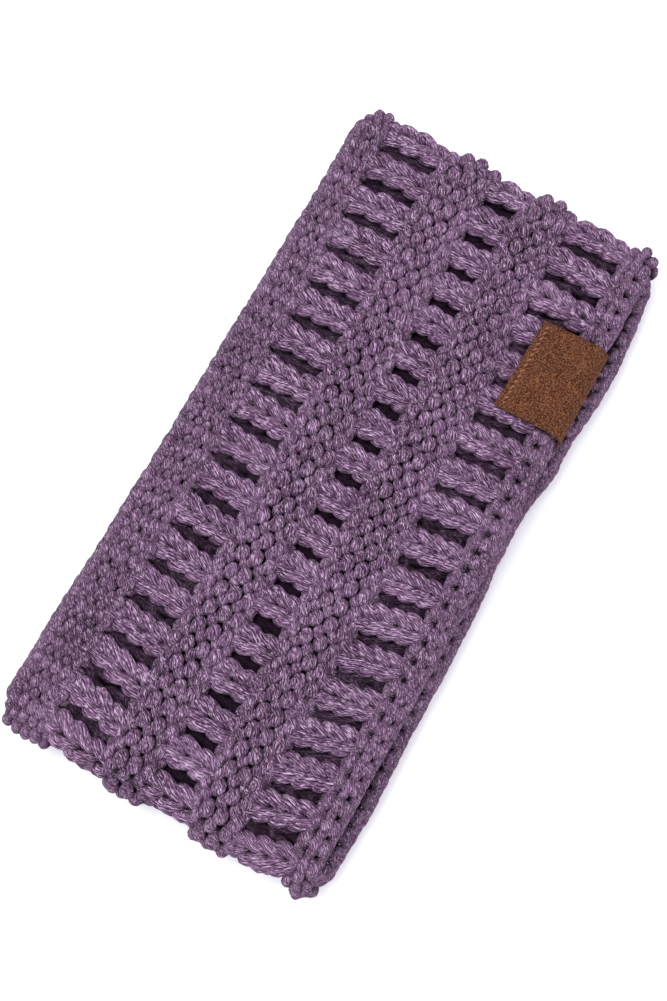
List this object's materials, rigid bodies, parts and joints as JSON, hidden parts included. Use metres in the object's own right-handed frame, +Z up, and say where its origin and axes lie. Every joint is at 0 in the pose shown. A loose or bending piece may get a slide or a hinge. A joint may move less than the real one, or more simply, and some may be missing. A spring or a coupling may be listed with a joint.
{
  "type": "knitted ear warmer headband",
  "caption": "Chunky knitted ear warmer headband lying flat as a two-layer loop, with raised welts, ribbed channels and a bare suede tag folded round one edge.",
  "frame": {"origin": "on the surface that the headband lies on, under the middle of its footprint", "axes": "+X along the flattened band towards the end nearer the tag, +Y across it towards the smooth edge without a tag, +Z up"},
  "size_m": [0.24, 0.115, 0.0246],
  "materials": {
    "yarn": "soft matt dusty mauve acrylic yarn, loosely plied",
    "suede": "matt brown faux suede with a fine grain",
    "thread": "matt tan sewing thread"
  },
  "bodies": {
    "root": {"knit_band": "yarn", "tag": "suede"}
  },
  "joints": []
}
